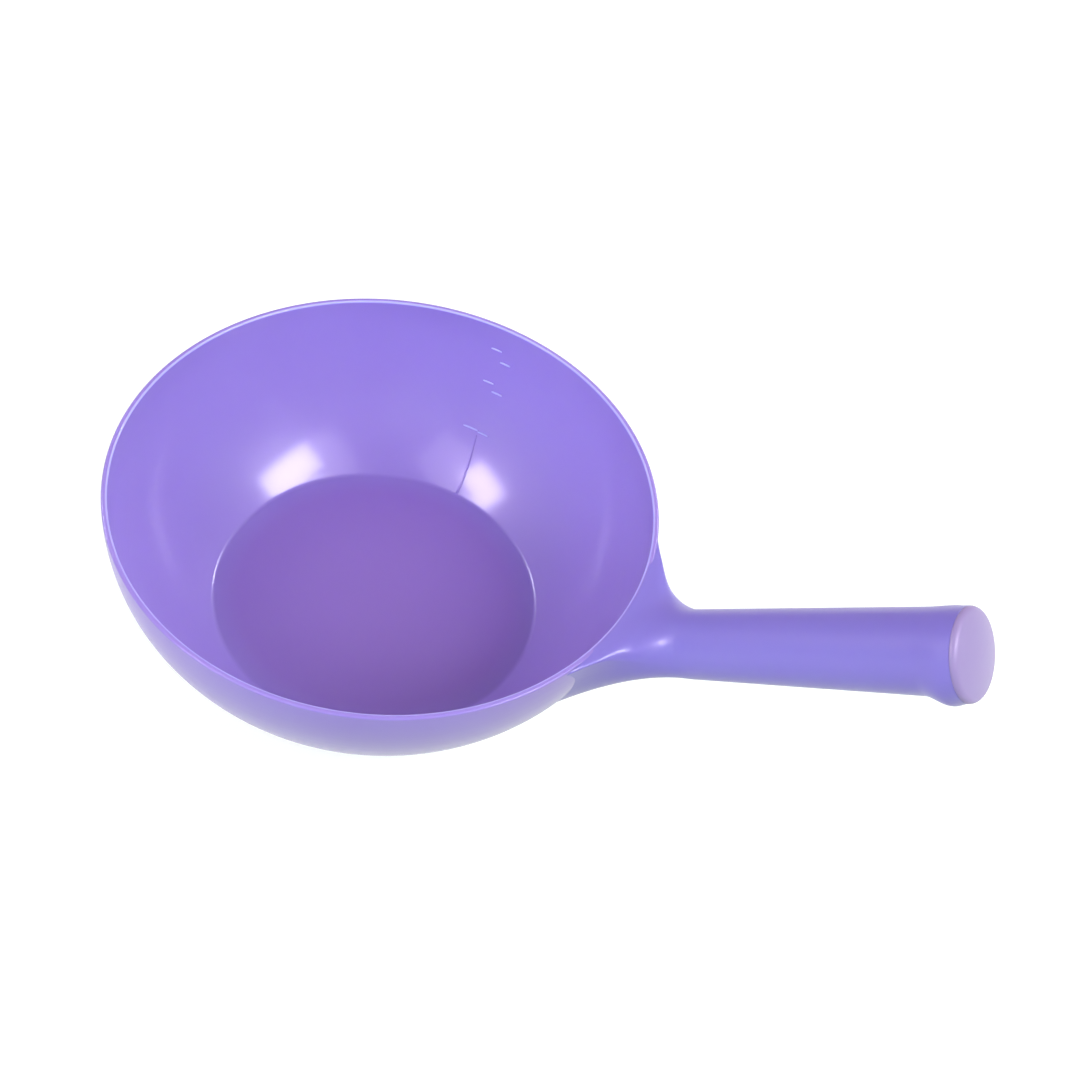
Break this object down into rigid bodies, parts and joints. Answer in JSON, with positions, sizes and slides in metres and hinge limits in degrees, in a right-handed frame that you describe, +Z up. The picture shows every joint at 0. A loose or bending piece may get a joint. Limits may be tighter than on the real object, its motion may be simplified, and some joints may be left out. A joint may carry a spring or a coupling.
{
  "type": "hair colour mixing bowl",
  "caption": "Round salon mixing bowl with a flat floor, moulded level marks inside and a hollow, upward-sloping round handle at one side.",
  "frame": {"origin": "centre of the base pad's underside, on the surface the bowl stands on", "axes": "+Z up along the bowl's axis of revolution, +X horizontally from the bowl's axis towards the handle's end"},
  "size_m": [0.2071, 0.13, 0.0886],
  "materials": {
    "lilac_plastic": "smooth glossy injection-moulded polypropylene, slightly translucent",
    "handle_plastic": "the same glossy plastic, a touch duller from handling",
    "cap_plastic": "the same glossy plastic, satin on the domed face",
    "pad_rubber": "matt soft thermoplastic rubber"
  },
  "bodies": {
    "root": {"bowl_shell": "lilac_plastic", "handle": "handle_plastic", "handle_end_cap": "cap_plastic", "non_slip_base_pad": "pad_rubber"}
  },
  "joints": []
}
